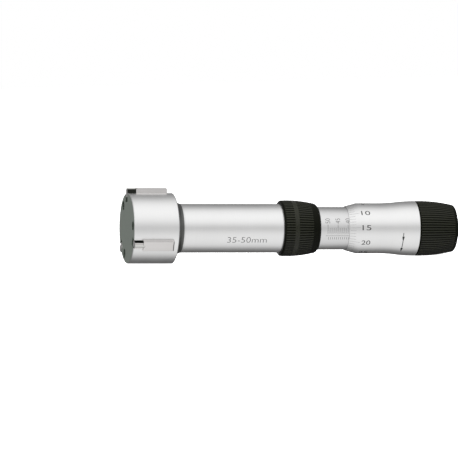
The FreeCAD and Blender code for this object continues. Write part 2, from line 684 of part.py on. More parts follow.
def pieces():
    made = {
        "head_body": head_body(),
        "front_cover": front_cover(),
        "cover_screws": cover_screws(),
        "front_bush": front_bush(),
        "rear_bush": rear_bush(),
        "grip_collar": grip_collar(),
        "inner_barrel": inner_barrel(),
        "graduated_sleeve": graduated_sleeve(),
        "adjusting_nut": adjusting_nut(),
        "measuring_cone": measuring_cone(),
        "cone_screw": cone_screw(),
        "push_rod": push_rod(),
        "stop_ring": stop_ring(),
        "return_spring": return_spring(),
        "thrust_ball": thrust_ball(),
        "spindle": spindle(),
        "thimble": thimble(),
        "thimble_nut": thimble_nut(),
        "ratchet_wheel": ratchet_wheel(),
        "ratchet_screw": ratchet_screw(),
        "ratchet_grip": ratchet_grip(),
        "ratchet_plunger": ratchet_plunger(),
        "ratchet_spring": ratchet_spring(),
        "end_cap": end_cap(),
    }
    for i in range(ANVIL_COUNT):
        made[f"anvil_{i + 1}"] = anvil(i)
        made[f"measuring_pin_{i + 1}"] = measuring_pin(i)
    return made


os.makedirs("parts", exist_ok=True)
for name, shape in pieces().items():
    shape.exportStep(f"parts/{name}.step")
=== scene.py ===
import bmesh
import bpy
import json
import math
from mathutils import Matrix, Vector


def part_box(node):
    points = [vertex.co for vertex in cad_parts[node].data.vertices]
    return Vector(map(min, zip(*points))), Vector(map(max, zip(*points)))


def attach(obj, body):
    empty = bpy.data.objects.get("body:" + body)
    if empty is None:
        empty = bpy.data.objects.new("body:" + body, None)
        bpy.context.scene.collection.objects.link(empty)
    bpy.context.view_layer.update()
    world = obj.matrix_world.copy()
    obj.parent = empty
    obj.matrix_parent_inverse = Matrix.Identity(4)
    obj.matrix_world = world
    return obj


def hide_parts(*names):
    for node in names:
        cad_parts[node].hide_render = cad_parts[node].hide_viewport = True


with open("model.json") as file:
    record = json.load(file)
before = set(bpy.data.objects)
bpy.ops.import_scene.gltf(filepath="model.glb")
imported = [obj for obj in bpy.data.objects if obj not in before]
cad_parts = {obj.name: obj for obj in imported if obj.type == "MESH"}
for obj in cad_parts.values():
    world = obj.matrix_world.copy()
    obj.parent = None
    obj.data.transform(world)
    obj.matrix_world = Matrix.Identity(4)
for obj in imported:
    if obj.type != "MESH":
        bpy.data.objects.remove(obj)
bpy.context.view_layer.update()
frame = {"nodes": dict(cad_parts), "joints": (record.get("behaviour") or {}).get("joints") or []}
mm = 0.001
weld = 0.001 * mm  # points nearer than this become one
overrun = 1.0  # how far a cutting shape stands past what it cuts


# a shader value that takes + - and *, also after a plain number
class Field:
    def __init__(self, finish, socket):
        self.finish = finish
        self.socket = socket

    def maths(self, operation, first, second):
        return self.finish.maths(operation, first, second)

    def __add__(self, other):
        return self.maths("ADD", self, other)

    def __radd__(self, other):
        return self.maths("ADD", other, self)

    def __sub__(self, other):
        return self.maths("SUBTRACT", self, other)

    def __rsub__(self, other):
        return self.maths("SUBTRACT", other, self)

    def __mul__(self, other):
        return self.maths("MULTIPLY", self, other)

    def __rmul__(self, other):
        return self.maths("MULTIPLY", other, self)


# the nodes that feed one shader, of a material or of the world
class Finish:
    def __init__(self, owner, constants, shader="Principled BSDF"):
        owner.use_nodes = True
        self.owner = owner
        self.tree = owner.node_tree
        self.shader = self.tree.nodes[shader]
        self.feed(self.shader, constants)

    def feed(self, node, sockets):
        for socket, value in sockets.items():
            if isinstance(value, Field):
                self.tree.links.new(value.socket, node.inputs[socket])
            else:
                node.inputs[socket].default_value = value

    def add(self, kind, settings, sockets, output=0):
        node = self.tree.nodes.new(kind)
        for name, value in settings.items():
            if name == "stops":
                for i, (place, grey) in enumerate(value):
                    stop = node.color_ramp.elements[i] if i < 2 else node.color_ramp.elements.new(place)
                    stop.position = place
                    stop.color = (grey, grey, grey, 1)
            else:
                setattr(node, name, value)
        self.feed(node, sockets)
        return Field(self, node.outputs[output])

    def maths(self, operation, first, second):
        return self.add("ShaderNodeMath", {"operation": operation}, {0: first, 1: second})

    def ray(self, kind):
        return self.add("ShaderNodeLightPath", {}, {}, kind)

    def ramp(self, value, stops):
        return self.add("ShaderNodeValToRGB", {"stops": stops}, {"Fac": value})

    def split(self, vector):
        first = self.add("ShaderNodeSeparateXYZ", {}, {0: vector})
        return [Field(self, output) for output in first.socket.node.outputs]

    def place(self):
        return self.add("ShaderNodeTexCoord", {}, {}, "Object")

    # noise is 0.5 on average, so noise - 0.5 goes both ways
    def noise(self, place, scale, detail=2.0):
        sized = self.add("ShaderNodeMapping", {}, {"Vector": place, "Scale": scale})
        return self.add("ShaderNodeTexNoise", {}, {"Vector": sized, "Scale": 1.0, "Detail": detail})

    def mix(self, factor, first, second):
        return self.add("ShaderNodeMix", {"data_type": "RGBA"}, {0: factor, 6: first, 7: second}, 2)

    def between(self, factor, dark, light):
        return self.mix(factor, (*dark, 1.0), (*light, 1.0))

    def bump(self, height, strength, depth=0.01):
        sockets = {"Height": height, "Strength": strength, "Distance": depth * mm}
        self.feed(self.shader, {"Normal": self.add("ShaderNodeBump", {}, sockets)})


# metal that was turned, ground or plated: fine lines round or along the axis and a faint cloud
def metal(name, look):
    finish = Finish(bpy.data.materials.new(name), {"Metallic": 1.0})
    place = finish.place()
    lines = finish.noise(place, (look["lines"], look["linesAcross"], look["linesAcross"]), detail=3.0)
    cloud = finish.noise(place, (look["cloud"],) * 3)
    grain = finish.noise(place, (look["grain"],) * 3, detail=1.0)
    tone = cloud * look["cloudShare"] + lines * (1 - look["cloudShare"])
    change = (lines - 0.5) * look["roughnessLines"] + (cloud - 0.5) * look["roughnessCloud"]
    finish.feed(finish.shader, {
        "Base Color": finish.between(tone, look["dark"], look["light"]),
        "Roughness": look["roughness"] + change,
    })
    finish.bump(lines * look["lineHeight"] + grain * (1.0 - look["lineHeight"]), look["bump"])
    return finish.owner


# black anodised metal, olive where the light catches it
def anodised(name, look):
    finish = Finish(bpy.data.materials.new(name), {"Specular IOR Level": look["specular"]})
    place = finish.place()
    grain = finish.noise(place, (look["grain"],) * 3, detail=3.0)
    cloud = finish.noise(place, (look["cloud"],) * 3)
    tone = cloud * look["cloudShare"] + grain * (1 - look["cloudShare"])
    finish.feed(finish.shader, {
        "Base Color": finish.between(tone, look["dark"], look["light"]),
        "Roughness": look["roughness"] + (grain - 0.5) * look["roughnessGrain"],
    })
    finish.bump(grain, look["bump"])
    return finish.owner


# enamel rubbed into the engraved lines and figures
def enamel(name, look):
    finish = Finish(bpy.data.materials.new(name), {"Specular IOR Level": look["specular"]})
    grain = finish.noise(finish.place(), (look["grain"],) * 3)
    finish.feed(finish.shader, {
        "Base Color": finish.between(grain, look["dark"], look["light"]),
        "Roughness": look["roughness"] + grain * look["roughnessGrain"],
    })
    return finish.owner


satin = {
    "lines": 2600.0, "linesAcross": 60.0, "cloud": 90.0, "cloudShare": 0.6, "grain": 5200.0,
    "lineHeight": 0.45, "roughness": 0.33, "roughnessLines": 0.08, "roughnessCloud": 0.06, "bump": 0.10,
    "dark": (0.80, 0.80, 0.80), "light": (0.90, 0.90, 0.895),
}
black = {"grain": 1500.0, "cloud": 120.0, "cloudShare": 0.5, "roughnessGrain": 0.16, "bump": 0.25}
rubbed = {"specular": 0.3, "grain": 900.0, "roughness": 0.5, "roughnessGrain": 0.2}
finishes = {
    "satinChrome": metal("satinChrome", satin),
    # a darker copy of the satin chrome: painted dark reflection for the root fillet
    "rootPaintedReflection": metal("rootPaintedReflection", {
        **satin, "dark": (0.16, 0.165, 0.16), "light": (0.21, 0.215, 0.21),
    }),
    "sleeveChrome": metal("sleeveChrome", {
        **satin, "roughness": 0.34, "dark": (0.70, 0.70, 0.70), "light": (0.79, 0.79, 0.79),
    }),
    "thimbleChrome": metal("thimbleChrome", {**satin, "roughness": 0.31, "lineHeight": 0.7}),
    # ground steel face; its dark green-grey colour is painted reflection of a dark surround
    "groundFacePaintedReflection": metal("groundFacePaintedReflection", {
        **satin, "lines": 300.0, "linesAcross": 2200.0, "roughness": 0.34, "bump": 0.15,
        "dark": (0.40, 0.47, 0.40), "light": (0.48, 0.55, 0.48),
    }),
    "groundSteel": metal("groundSteel", {
        **satin, "lines": 200.0, "linesAcross": 1200.0, "roughness": 0.30, "bump": 0.04,
        "dark": (0.68, 0.66, 0.65), "light": (0.76, 0.74, 0.73),
    }),
    "turnedSteel": metal("turnedSteel", {
        **satin, "roughness": 0.30, "lineHeight": 0.8, "bump": 0.2,
        "dark": (0.52, 0.52, 0.52), "light": (0.66, 0.66, 0.66),
    }),
    "hardMetal": metal("hardMetal", {
        **satin, "roughness": 0.16, "bump": 0.04, "dark": (0.62, 0.62, 0.60), "light": (0.70, 0.70, 0.68),
    }),
    "springSteel": metal("springSteel", {
        **satin, "roughness": 0.34, "dark": (0.34, 0.34, 0.36), "light": (0.46, 0.46, 0.48),
    }),
    "bronze": metal("bronze", {
        **satin, "roughness": 0.34, "lineHeight": 0.8, "bump": 0.2,
        "dark": (0.60, 0.40, 0.20), "light": (0.74, 0.53, 0.28),
    }),
    # black oxide for the screws; on the anvils the same black is painted shade
    "blackened": metal("blackened", {
        **satin, "roughness": 0.36, "dark": (0.018, 0.02, 0.017), "light": (0.04, 0.042, 0.036),
    }),
    # the grips' black, darkest and dullest where it is left in the grooves of the flutes: painted shade
    # there
    "blackGripAndGrooveShade": anodised("blackGripAndGrooveShade", {
        **black, "specular": 0.07, "roughness": 0.34,
        "dark": (0.0016, 0.0018, 0.001), "light": (0.004, 0.0045, 0.002),
    }),
    "blackCrests": anodised("blackCrests", {
        **black, "specular": 0.30, "roughness": 0.22,
        "dark": (0.004, 0.0045, 0.0018), "light": (0.012, 0.013, 0.0055),
    }),
    "blackCap": anodised("blackCap", {
        **black, "specular": 0.12, "roughness": 0.36,
        "dark": (0.002, 0.0022, 0.002), "light": (0.005, 0.0055, 0.0045),
    }),
    "blackEnamel": enamel("blackEnamel", {
        **rubbed, "dark": (0.02, 0.02, 0.02), "light": (0.05, 0.05, 0.05),
    }),
    "paleEnamel": enamel("paleEnamel", {
        **rubbed, "dark": (0.20, 0.20, 0.20), "light": (0.30, 0.30, 0.30),
    }),
    "greyEnamel": enamel("greyEnamel", {
        **rubbed, "dark": (0.06, 0.06, 0.06), "light": (0.11, 0.11, 0.11),
    }),
}
print("finishes made:", len(finishes))


# where a node that was turned lies on the axis, and its radius, in millimetres
def reach(node):
    low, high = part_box(node)
    return low.x / mm, high.x / mm, high.z / mm


# the turn that brings an upright shape to an angle round the axis: 0 faces the viewer, 90 is up
def facing(angle):
    return Matrix.Rotation(math.radians(90 - angle), 4, "X")


# points of a round stretch of a profile, about a centre at (x, r)
def arc(x, r, radius, start, turn, steps):
    angles = [math.radians(start + turn * i / steps) for i in range(steps + 1)]
    return [(x + radius * math.cos(a), r + radius * math.sin(a)) for a in angles]


# the smooth bow of a grip through three points (x, r)
def bowed(front, middle, rear):
    def height(x):
        total = 0
        for here, a, b in ((front, middle, rear), (middle, front, rear), (rear, front, middle)):
            total += here[1] * (x - a[0]) * (x - b[0]) / ((here[0] - a[0]) * (here[0] - b[0]))
        return total
    return height


def sharpEdges(bm, angle):
    limit = math.radians(angle)
    return [e for e in bm.edges if e.is_manifold and e.calc_face_angle(0) > limit]


def softened(bm, width, segments=2, angle=30, material=-1):
    bmesh.ops.bevel(
        bm, geom=sharpEdges(bm, angle), offset=width * mm, offset_type="OFFSET", segments=segments,
        profile=0.5, affect="EDGES", material=material, clamp_overlap=True,
    )
    return bm


# a profile of points (x, r) spun round the axis
def turned(profile, steps=144, edge=0.08):
    bm = bmesh.new()
    verts = [bm.verts.new((x * mm, 0, r * mm)) for x, r in profile]
    edges = [bm.edges.new(pair) for pair in zip(verts, verts[1:])]
    if profile[0][1] > 0:
        edges.append(bm.edges.new((verts[-1], verts[0])))
    bmesh.ops.spin(
        bm, geom=verts + edges, axis=(1, 0, 0), cent=(0, 0, 0), angle=math.tau, steps=steps,
        use_merge=True,
    )
    bmesh.ops.remove_doubles(bm, verts=bm.verts, dist=weld / 10)
    bmesh.ops.recalc_face_normals(bm, faces=bm.faces)
    if edge:
        softened(bm, edge)
    return bm


def made(bm, name):
    mesh = bpy.data.meshes.new(name)
    bm.to_mesh(mesh)
    bm.free()
    piece = bpy.data.objects.new(name, mesh)
    bpy.context.scene.collection.objects.link(piece)
    return piece


def block(x0, x1, width, z0, z1, angle):
    bm = bmesh.new()
    size = Matrix.Diagonal(((x1 - x0) * mm, width * mm, (z1 - z0) * mm, 1))
    middle = Matrix.Translation(((x0 + x1) / 2 * mm, 0, (z0 + z1) / 2 * mm))
    bmesh.ops.create_cube(bm, size=1, matrix=facing(angle) @ middle @ size)
    return bm


def drill(x0, x1, r, offset, angle, segments=48):
    bm = bmesh.new()
    middle = Matrix.Translation(((x0 + x1) / 2 * mm, 0, offset * mm))
    bmesh.ops.create_cone(
        bm, cap_ends=True, segments=segments, radius1=r * mm, radius2=r * mm, depth=(x1 - x0) * mm,
        matrix=facing(angle) @ middle @ Matrix.Rotation(math.pi / 2, 4, "Y"),
    )
    return bm


def joined(parts):
    whole = bmesh.new()
    for part in parts:
        mesh = bpy.data.meshes.new("part")
        part.to_mesh(mesh)
        part.free()
        whole.from_mesh(mesh)
        bpy.data.meshes.remove(mesh)
    return whole


# cuts each group of tools out of a shape
def carved(bm, name, groups):
    piece = made(bm, name)
    tools = [made(joined(group), "tool") for group in groups]
    for tool in tools:
        cut = piece.modifiers.new("cut", "BOOLEAN")
        cut.operation = "DIFFERENCE"
        cut.solver = "EXACT"
        cut.object = tool
    result = bpy.data.meshes.new_from_object(piece.evaluated_get(bpy.context.evaluated_depsgraph_get()))
    carving = bmesh.new()
    carving.from_mesh(result)
    for thing in [piece, *tools]:
        bpy.data.objects.remove(thing)
    bmesh.ops.remove_doubles(carving, verts=carving.verts, dist=weld * 2)
    bmesh.ops.dissolve_degenerate(carving, edges=carving.edges, dist=weld)
    return carving


# a finished piece: shaded, in its finish, on its body, in place of its nodes
def fitted(bm, name, finish, body, slot, *nodes, sharp=32):
    piece = made(bm, name)
    piece.data.materials.append(finishes[finish])
    piece.data.shade_smooth()
    piece.data.set_sharp_from_angle(angle=math.radians(sharp))
    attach(piece, body)
    if nodes:
        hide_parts(*nodes)
    print("piece", name, "faces", len(piece.data.polygons))
    return piece


def radiusOf(face):
    return math.hypot(face.center.y, face.center.z) / mm


# a second finish for some of a piece's faces
def refinished(piece, finish, chosen):
    piece.data.materials.append(finishes[finish])
    for face in piece.data.polygons:
        if chosen(face):
            face.material_index = 1


# a copy of a node with its flats made whole and its edges softened
def dressed(node, name, finish, body, slot, edge, edgeMaterial=-1, flat=0.5):
    bm = bmesh.new()
    bm.from_mesh(frame["nodes"][node].data)
    bmesh.ops.remove_doubles(bm, verts=bm.verts, dist=weld)
    bmesh.ops.dissolve_limit(
        bm, angle_limit=math.radians(flat), verts=bm.verts, edges=bm.edges,
        use_dissolve_boundaries=False,
    )
    softened(bm, edge, material=edgeMaterial)
    return fitted(bm, name, finish, body, slot, node, sharp=20)


# head and shank, turned from one bar, slotted for the anvils
head = {
    "edge": 0.4, "rear": 22.3, "shankR": 11.8, "fillet": 4.6, "filletSteps": 12, "paintedReflectionShare": 0.8,
    "spigotR": 9.9, "socketR": 8.2, "springRoomR": 6.6, "chamberEnd": 23.6, "chamberR": 11.5,
    "coneTipR": 7.9, "slotWidth": 5.06, "slotEnd": 19.53,
    "keyway": 3.4, "keywayEnd": 22.2, "keywayR": 12.9,
    "screwCircle": 13.3, "screwR": 1.25, "screwEnd": 11.8, "screwTurn": 32.0,
}
slides = [j for j in frame["joints"] if j["name"].startswith("anvil")]
anvilAngles = [math.degrees(math.atan2(j["axis"][2], -j["axis"][1])) for j in slides]
screwAngles = [a + head["screwTurn"] for a in anvilAngles]
headX, headEnd, headR = reach("head_body")
frontBushEnd, bushR = reach("front_bush")[1:]
rearBushX = reach("rear_bush")[0]
barrelX = reach("inner_barrel")[0]
shankEnd, collarEnd = reach("grip_collar")[:2]
filletX = head["rear"] + head["fillet"]
filletR = head["shankR"] + head["fillet"]
profile = [
    (headX, head["chamberR"]), (headX, headR), (head["rear"] - head["edge"], headR),
    (head["rear"], headR - head["edge"]),
    *arc(filletX, filletR, head["fillet"], 180, 90, head["filletSteps"]),
    (shankEnd, head["shankR"]), (shankEnd, head["spigotR"]), (headEnd, head["spigotR"]),
    (headEnd, head["socketR"]), (barrelX, head["socketR"]), (barrelX, bushR), (rearBushX, bushR),
    (rearBushX, head["springRoomR"]), (frontBushEnd, head["springRoomR"]), (frontBushEnd, bushR),
    (head["chamberEnd"], bushR), (head["chamberEnd"], head["chamberR"]),
]
slots = [
    block(0, head["slotEnd"], head["slotWidth"], head["coneTipR"], headR + overrun, a)
    for a in anvilAngles
]
keyways = [
    block(0, head["keywayEnd"], head["keyway"], head["coneTipR"] - overrun, head["keywayR"], a)
    for a in anvilAngles
]
holes = [drill(0, head["screwEnd"], head["screwR"], head["screwCircle"], a) for a in screwAngles]
bar = carved(turned(profile, edge=0), "head", [slots, keyways, holes])
bar = fitted(bar, "headAndShank", "satinChrome", "frame", "satin_chrome", "head_body")


# most of the root fillet gets a darker copy of the satin chrome: a painted dark reflection
def inFillet(face):
    behindHead = face.center.x / mm - head["rear"]
    return 0 < behindHead < head["fillet"] * head["paintedReflectionShare"] and radiusOf(face) > head["shankR"]


refinished(bar, "rootPaintedReflection", inFillet)

# front cover: a disc with notches for the noses and sunk holes for its screws
cover = {
    "edge": 0.3, "rim": 0.02, "floor": 1.2, "recessR": 9.5, "notchWidth": 4.2, "notchR": 12.7,
    "keyway": 3.4, "keywayFrom": 4.0, "keywayR": 11.5, "boreR": 2.2, "bore": 2.8, "holeR": 1.35,
}
profile = [
    (0, 0), (0, headR - cover["edge"]), (cover["edge"], headR), (headX, headR),
    (headX, cover["recessR"]), (cover["floor"], cover["recessR"]), (cover["floor"], 0),
]
notches = [
    block(-overrun, headX + overrun, cover["notchWidth"], cover["notchR"], headR + overrun, a)
    for a in anvilAngles
]
keyways = [
    block(cover["floor"], headX + overrun, cover["keyway"], cover["keywayFrom"], cover["keywayR"], a)
    for a in anvilAngles
]
bores = [drill(-overrun, cover["bore"], cover["boreR"], head["screwCircle"], a) for a in screwAngles]
holes = [
    drill(-overrun, headX + overrun, cover["holeR"], head["screwCircle"], a) for a in screwAngles
]
disc = carved(turned(profile, edge=0), "cover", [notches, keyways, bores, holes])
disc = fitted(disc, "frontCover", "satinChrome", "frame", "ground_face", "front_cover")
groundR = headR - cover["edge"] + cover["rim"]
# the face inside the rim: ground steel, darkened and tinted as painted reflection
refinished(disc, "groundFacePaintedReflection", lambda face: radiusOf(face) < groundR)
print("head and cover done")

# cover screws, anvils and their measuring pins; the screws are black oxide, while the noses' sides and
# the anvils' softened edges are painted black as painted shade
screw = {"edge": 0.06}
anvil = {"edge": 0.16, "pinEdge": 0.1, "sideways": 0.7}
dressed("cover_screws", "coverScrews", "blackened", "frame", "black_screw", screw["edge"])


# the sides of each nose below its pin: painted shade
def noseSides(across):
    def chosen(face):
        return face.center.x < headX * mm and abs(face.normal.dot(across)) > anvil["sideways"]
    return chosen


for i, slide in enumerate(slides):
    body = f"anvil_{i + 1}"
    # the anvil's softened edges take the second finish: a painted shadow line round each anvil
    piece = dressed(
        body, f"anvil{i + 1}", "groundSteel", body, "anvil_steel", anvil["edge"], edgeMaterial=1
    )
    refinished(piece, "blackened", noseSides(Vector(slide["axis"]).cross((1, 0, 0))))
    dressed(
        f"measuring_pin_{i + 1}", f"measuringPin{i + 1}", "hardMetal", body, "hard_metal",
        anvil["pinEdge"],
    )
print("anvils done")

# the flutes of both grips: one section of eight steps, from groove to crest and back
flutes = {
    "count": 66, "depth": 0.35, "runOut": 0.25, "section": (1, 0.8, 0.15, 0, 0, 0, 0.15, 0.8),
    "crest": (0.25, 0.75),
}
fluteSteps = flutes["count"] * len(flutes["section"])


# straight flutes, cut along the skin between the ends of each zone
def fluted(bm, zones, skin):
    for v in bm.verts:
        x = v.co.x / mm
        r = math.hypot(v.co.y, v.co.z) / mm
        for x0, x1 in zones:
            if x0 < x < x1 and r > skin(x) - flutes["depth"]:
                share = min(1, (x - x0) / flutes["runOut"], (x1 - x) / flutes["runOut"])
                turn = round(math.atan2(v.co.y, v.co.z) / math.tau * fluteSteps)
                sunk = flutes["depth"] * share * flutes["section"][turn % len(flutes["section"])]
                v.co.y *= (r - sunk) / r
                v.co.z *= (r - sunk) / r
    bmesh.ops.recalc_face_normals(bm, faces=bm.faces)
    return bm


def within(x, zones):
    return any(x0 < x < x1 for x0, x1 in zones)


# the crests between the flutes and the smooth bands take a lighter, glossier black; the grooves keep the
# darker, duller black as painted shade
def polished(piece, zones, bands):
    def chosen(face):
        x = face.center.x / mm
        turn = math.atan2(face.center.y, face.center.z) / math.tau * flutes["count"] % 1
        onCrest = flutes["crest"][0] < turn < flutes["crest"][1]
        return onCrest and within(x, zones) or within(x, bands)
    refinished(piece, "blackCrests", chosen)


# rings of points along a zone of flutes: its ends, its run-outs and the runs between them
def rings(zone, runs, skin):
    x0, x1 = zone
    length = x1 - x0 - 2 * flutes["runOut"]
    inner = [x0 + flutes["runOut"] + length * i / runs for i in range(runs + 1)]
    return [(x, skin(x)) for x in [x0, *inner, x1]]


# fluted collar over the joint of shank and sleeve
collar = {
    "faceR": 12.7, "chamfer": 0.7, "frontR": 13.45, "middleR": 13.35, "rearR": 12.15,
    "corner": 2.2, "cornerTurn": 65, "cornerSteps": 6, "endR": 10.75, "fit": 0.03,
    "start": 0.1, "firstFlutes": 4.4, "firstRuns": 5, "band": 2.1, "secondRuns": 7, "plainEnd": 1.85,
}
sleeveX, sleeveEnd, sleeveR = reach("graduated_sleeve")
skinX = shankEnd + collar["chamfer"]
cornerX = collarEnd - collar["corner"]
cornerR = collar["rearR"] - collar["corner"]
skin = bowed(
    (skinX, collar["frontR"]), ((skinX + cornerX) / 2, collar["middleR"]), (cornerX, collar["rearR"])
)
firstX = skinX + collar["start"]
firstEnd = firstX + collar["firstFlutes"]
secondX = firstEnd + collar["band"]
secondEnd = cornerX - collar["plainEnd"]
bandX = (firstEnd + secondX) / 2
bore = sleeveR + collar["fit"]
profile = [
    (shankEnd, head["spigotR"]), (shankEnd, collar["faceR"]), (skinX, skin(skinX)),
    *rings((firstX, firstEnd), collar["firstRuns"], skin),
    (bandX, skin(bandX)),
    *rings((secondX, secondEnd), collar["secondRuns"], skin),
    *arc(cornerX, cornerR, collar["corner"], 90, -collar["cornerTurn"], collar["cornerSteps"]),
    (collarEnd, collar["endR"]), (collarEnd, bore), (headEnd, bore), (headEnd, head["spigotR"]),
]
zones = [(firstX, firstEnd), (secondX, secondEnd)]
grip = fluted(turned(profile, fluteSteps, edge=0), zones, skin)
grip = fitted(grip, "gripCollar", "blackGripAndGrooveShade", "frame", "black_flutes", "grip_collar")
polished(grip, zones, [(firstEnd, secondX)])

# graduated sleeve
sleeve = {"boreR": 9.0, "steps": 192}
profile = [
    (sleeveX, sleeve["boreR"]), (sleeveX, sleeveR), (sleeveEnd, sleeveR), (sleeveEnd, sleeve["boreR"]),
]
fitted(
    turned(profile, sleeve["steps"]), "graduatedSleeve", "sleeveChrome", "frame", "sleeve_chrome",
    "graduated_sleeve",
)

# thimble: bevelled lip, numbered cylinder and a flare
thimble = {
    "lipR": 10.72, "r": 12.2, "bevel": 5.5, "scale": 10.7, "gap": 0.1, "web": 7.2, "taperR": 4.6,
    "taperEndR": 3.9, "flareSteps": 16, "steps": 192, "edge": 0.05,
}
thimbleX, thimbleEnd, thimbleRearR = reach("thimble")
scaleX = thimbleX + thimble["bevel"]
flareX = scaleX + thimble["scale"]
webX = thimbleEnd - thimble["web"]
thimbleBore = sleeveR + thimble["gap"]


# the flare's radius: two parabolas that meet halfway
def flareR(x):
    share = (x - flareX) / (thimbleEnd - flareX)
    rise = thimbleRearR - thimble["r"]
    return thimble["r"] + rise * (2 * share ** 2 if share < 0.5 else 1 - 2 * (1 - share) ** 2)


flareStep = (thimbleEnd - flareX) / thimble["flareSteps"]
flareRings = [flareX + flareStep * i for i in range(thimble["flareSteps"] + 1)]
profile = [
    (thimbleX, thimbleBore), (thimbleX, thimble["lipR"]), (scaleX, thimble["r"]),
    *((x, flareR(x)) for x in flareRings),
    (thimbleEnd, thimble["taperEndR"]), (webX, thimble["taperR"]), (webX, thimbleBore),
]
fitted(
    turned(profile, thimble["steps"], edge=thimble["edge"]), "thimbleBarrel", "thimbleChrome", "thimble",
    "thimble_chrome", "thimble", sharp=20,
)

# ratchet grip
ratchet = {
    "frontR": 12.7, "chamfer": 0.55, "middleR": 12.95, "rearR": 11.5, "corner": 1.1, "cornerSteps": 6,
    "start": 0.1, "runs": 10, "plainEnd": 0.6, "slope": 0.4, "cavityR": 10.0, "shoulderR": 3.03,
    "headR": 4.4, "runGap": 0.03, "crestGap": 0.4, "plungerR": 1.53, "plungerCircle": 7.3,
    "plungerWall": 1.0, "screwHead": 2.2, "capRoom": 0.97,
}
ratchetX, ratchetFace = reach("ratchet_grip")[:2]
ratchetEnd = ratchetFace - ratchet["slope"]
capX, capEnd, capR = reach("end_cap")
ratchetWeb = reach("ratchet_wheel")[1] + ratchet["crestGap"]
shoulderEnd = capX - ratchet["capRoom"] - ratchet["screwHead"] - ratchet["runGap"]
skinX = ratchetX + ratchet["chamfer"]
cornerX = ratchetEnd - ratchet["corner"]
cornerR = ratchet["rearR"] - ratchet["corner"]
skin = bowed(
    (skinX, ratchet["frontR"] + ratchet["chamfer"]), ((skinX + cornerX) / 2, ratchet["middleR"]),
    (cornerX, ratchet["rearR"]),
)
zone = (skinX + ratchet["start"], cornerX - ratchet["plainEnd"])
profile = [
    (ratchetX, ratchet["cavityR"]), (ratchetX, ratchet["frontR"]), (skinX, skin(skinX)),
    *rings(zone, ratchet["runs"], skin),
    *arc(cornerX, cornerR, ratchet["corner"], 90, -90, ratchet["cornerSteps"]),
    (ratchetFace, capR), (capX, capR), (capX, ratchet["headR"]), (shoulderEnd, ratchet["headR"]),
    (shoulderEnd, ratchet["shoulderR"]), (ratchetWeb, ratchet["shoulderR"]),
    (ratchetWeb, ratchet["cavityR"]),
]
grip = fluted(turned(profile, fluteSteps, edge=0), [zone], skin)
plungerEnd = capX - ratchet["plungerWall"]
plungerBore = drill(
    ratchetWeb - overrun, plungerEnd, ratchet["plungerR"], ratchet["plungerCircle"], 90
)
grip = carved(grip, "grip", [[plungerBore]])
grip = fitted(grip, "ratchetGrip", "blackGripAndGrooveShade", "ratchet", "black_flutes", "ratchet_grip")
polished(grip, [zone], [])

# low domed cap of the ratchet grip
cap = {"domeSteps": 10, "edge": 0.15}
dome = capEnd - ratchetFace
domeR = (capR ** 2 + dome ** 2) / (2 * dome)
rim = math.degrees(math.asin(capR / domeR))
profile = [
    (capX, 0), (capX, capR), (ratchetFace, capR),
    *arc(capEnd - domeR, 0, domeR, rim, -rim, cap["domeSteps"])[1:],
]
fitted(turned(profile, edge=cap["edge"]), "endCap", "blackCap", "ratchet", "black_cap", "end_cap")
print("grips, sleeve and thimble done")

# marks: drawn flat as (along the axis, round the surface), then wrapped on a turned surface
ink = {"proud": 0.015, "sunk": 0.03, "facet": 0.3, "curveSteps": 4}
inkThick = ink["proud"] + ink["sunk"]
inkMiddle = (ink["proud"] - ink["sunk"]) / 2


def stroke(bm, u0, v0, u1, v1):
    size = Matrix.Diagonal((abs(u1 - u0), abs(v1 - v0), inkThick, 1))
    middle = Matrix.Translation(((u0 + u1) / 2, (v0 + v1) / 2, inkMiddle))
    bmesh.ops.create_cube(bm, size=1, matrix=middle @ size)


# a triangle in a circle of radius 1 is 1.732 wide and 1.5 long
def arrowhead(bm, u, v, width, length):
    size = Matrix.Diagonal((width / 1.732, length / 1.5, 1, 1))
    bmesh.ops.create_cone(
        bm, cap_ends=True, segments=3, radius1=1, radius2=1, depth=inkThick,
        matrix=Matrix.Translation((u, v, inkMiddle)) @ size @ Matrix.Rotation(math.pi, 4, "Z"),
    )


# written at any size, then brought to its height, width and thickness
def lettering(bm, text, u, v, height, width=None, turn=0, weight=0.0):
    curve = bpy.data.curves.new("lettering", "FONT")
    curve.body = text
    curve.extrude = 0.5
    curve.offset = weight
    curve.resolution_u = ink["curveSteps"]
    written = bpy.data.objects.new("lettering", curve)
    bpy.context.scene.collection.objects.link(written)
    mesh = bpy.data.meshes.new_from_object(written.evaluated_get(bpy.context.evaluated_depsgraph_get()))
    corners = [vertex.co for vertex in mesh.vertices]
    low = Vector(min(c[i] for c in corners) for i in range(3))
    high = Vector(max(c[i] for c in corners) for i in range(3))
    middle = (low + high) / 2
    tall = height / (high.y - low.y)
    wide = width / (high.x - low.x) if width else tall
    thick = inkThick / (high.z - low.z)
    mesh.transform(
        Matrix.Translation((u, v, inkMiddle)) @ Matrix.Rotation(math.radians(turn), 4, "Z")
        @ Matrix.Diagonal((wide, tall, thick, 1)) @ Matrix.Translation(-middle)
    )
    bm.from_mesh(mesh)
    bpy.data.objects.remove(written)
    bpy.data.meshes.remove(mesh)


def wrapped(bm, radius, angle):
    bmesh.ops.remove_doubles(bm, verts=bm.verts, dist=weld / mm)
    low = min(v.co.y for v in bm.verts)
    high = max(v.co.y for v in bm.verts)
    for i in range(1, math.ceil((high - low) / ink["facet"])):
        bmesh.ops.bisect_plane(
            bm, geom=[*bm.verts, *bm.edges, *bm.faces], plane_co=(0, low + i * ink["facet"], 0),
            plane_no=(0, 1, 0),
        )
    for v in bm.verts:
        r = radius(v.co.x) + v.co.z
        a = math.radians(angle) + v.co.y / radius(v.co.x)
        v.co = (v.co.x * mm, -r * math.cos(a) * mm, r * math.sin(a) * mm)
    bmesh.ops.recalc_face_normals(bm, faces=bm.faces)
    return bm


